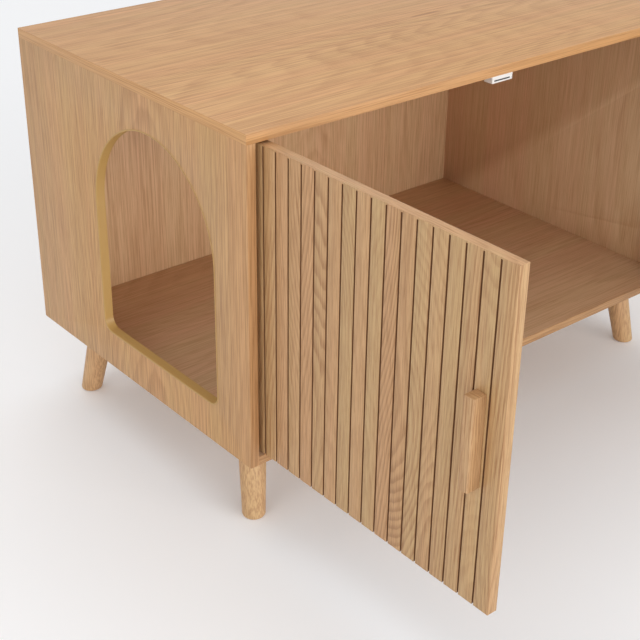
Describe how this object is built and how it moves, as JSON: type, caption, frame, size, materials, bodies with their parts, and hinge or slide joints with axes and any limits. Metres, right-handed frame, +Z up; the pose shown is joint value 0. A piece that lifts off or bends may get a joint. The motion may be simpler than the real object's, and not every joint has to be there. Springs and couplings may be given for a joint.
{
  "type": "cat litter box cabinet",
  "caption": "Low wooden cabinet that hides a cat litter tray, with an arched cat entrance in its left side, grooved inset doors standing open and splayed tapered legs.",
  "frame": {"origin": "on the floor, at the bottom centre of the box round the whole cabinet with both doors open at a right angle", "axes": "+Z up, -Y towards the front where the doors are, +X to the right when facing the front, so the arched entrance is on the -X side"},
  "size_m": [1.0004, 1.0664, 0.66],
  "materials": {
    "oak_board": "light oak laminate on board, satin",
    "door_oak": "light oak slat veneer, satin, with dark grooves",
    "leg_oak": "turned solid wood, stained light oak, satin",
    "ochre_edging": "ochre plastic edging, smooth, semi-matt",
    "hinge_steel": "nickel-plated pressed steel",
    "zinc": "zinc-plated steel fasteners",
    "white_plastic": "white moulded plastic",
    "magnet": "dark ferrite",
    "beech": "raw beech dowel"
  },
  "bodies": {
    "cabinet": {"top_panel": "oak_board", "bottom_panel": "oak_board", "left_side_panel": "oak_board", "right_side_panel": "oak_board", "back_panel": "oak_board", "arch_edging": "ochre_edging", "catch_body": "white_plastic", "catch_magnet": "magnet", "catch_screw_left": "zinc", "catch_screw_right": "zinc", "joint_dowel_top_left_front": "beech", "joint_dowel_top_left_back": "beech", "joint_dowel_top_right_front": "beech", "joint_dowel_top_right_back": "beech", "joint_dowel_bottom_left_front": "beech", "joint_dowel_bottom_left_back": "beech", "joint_dowel_bottom_right_front": "beech", "joint_dowel_bottom_right_back": "beech", "front_left_leg": "leg_oak", "back_left_leg": "leg_oak", "front_right_leg": "leg_oak", "back_right_leg": "leg_oak", "front_left_leg_bolt": "zinc", "back_left_leg_bolt": "zinc", "front_right_leg_bolt": "zinc", "back_right_leg_bolt": "zinc", "left_lower_hinge_arm": "hinge_steel", "left_upper_hinge_arm": "hinge_steel", "right_lower_hinge_arm": "hinge_steel", "right_upper_hinge_arm": "hinge_steel", "left_lower_hinge_plate": "hinge_steel", "left_upper_hinge_plate": "hinge_steel", "right_lower_hinge_plate": "hinge_steel", "right_upper_hinge_plate": "hinge_steel", "left_lower_plate_screw_low": "zinc", "left_lower_plate_screw_high": "zinc", "left_upper_plate_screw_low": "zinc", "left_upper_plate_screw_high": "zinc", "right_lower_plate_screw_low": "zinc", "right_lower_plate_screw_high": "zinc", "right_upper_plate_screw_low": "zinc", "right_upper_plate_screw_high": "zinc"},
    "left_door_leaf": {"left_door": "door_oak", "left_handle": "door_oak", "left_handle_screw_lower": "zinc", "left_handle_screw_upper": "zinc", "left_lower_hinge_cup": "hinge_steel", "left_upper_hinge_cup": "hinge_steel", "left_lower_hinge_pin": "zinc", "left_upper_hinge_pin": "zinc", "left_strike_plate": "zinc"},
    "right_door_leaf": {"right_door": "door_oak", "right_handle": "door_oak", "right_handle_screw_lower": "zinc", "right_handle_screw_upper": "zinc", "right_lower_hinge_cup": "hinge_steel", "right_upper_hinge_cup": "hinge_steel", "right_lower_hinge_pin": "zinc", "right_upper_hinge_pin": "zinc", "right_strike_plate": "zinc"}
  },
  "joints": [
    {"name": "left_door_hinge", "type": "hinge", "parent": "cabinet", "child": "left_door_leaf", "pos_m": [-0.46725, -0.06725, 0.399], "axis": [0, 0, 1], "range_deg": [-20, 90]},
    {"name": "right_door_hinge", "type": "hinge", "parent": "cabinet", "child": "right_door_leaf", "pos_m": [0.46775, -0.06725, 0.399], "axis": [0, 0, 1], "range_deg": [-90, 20]}
  ]
}
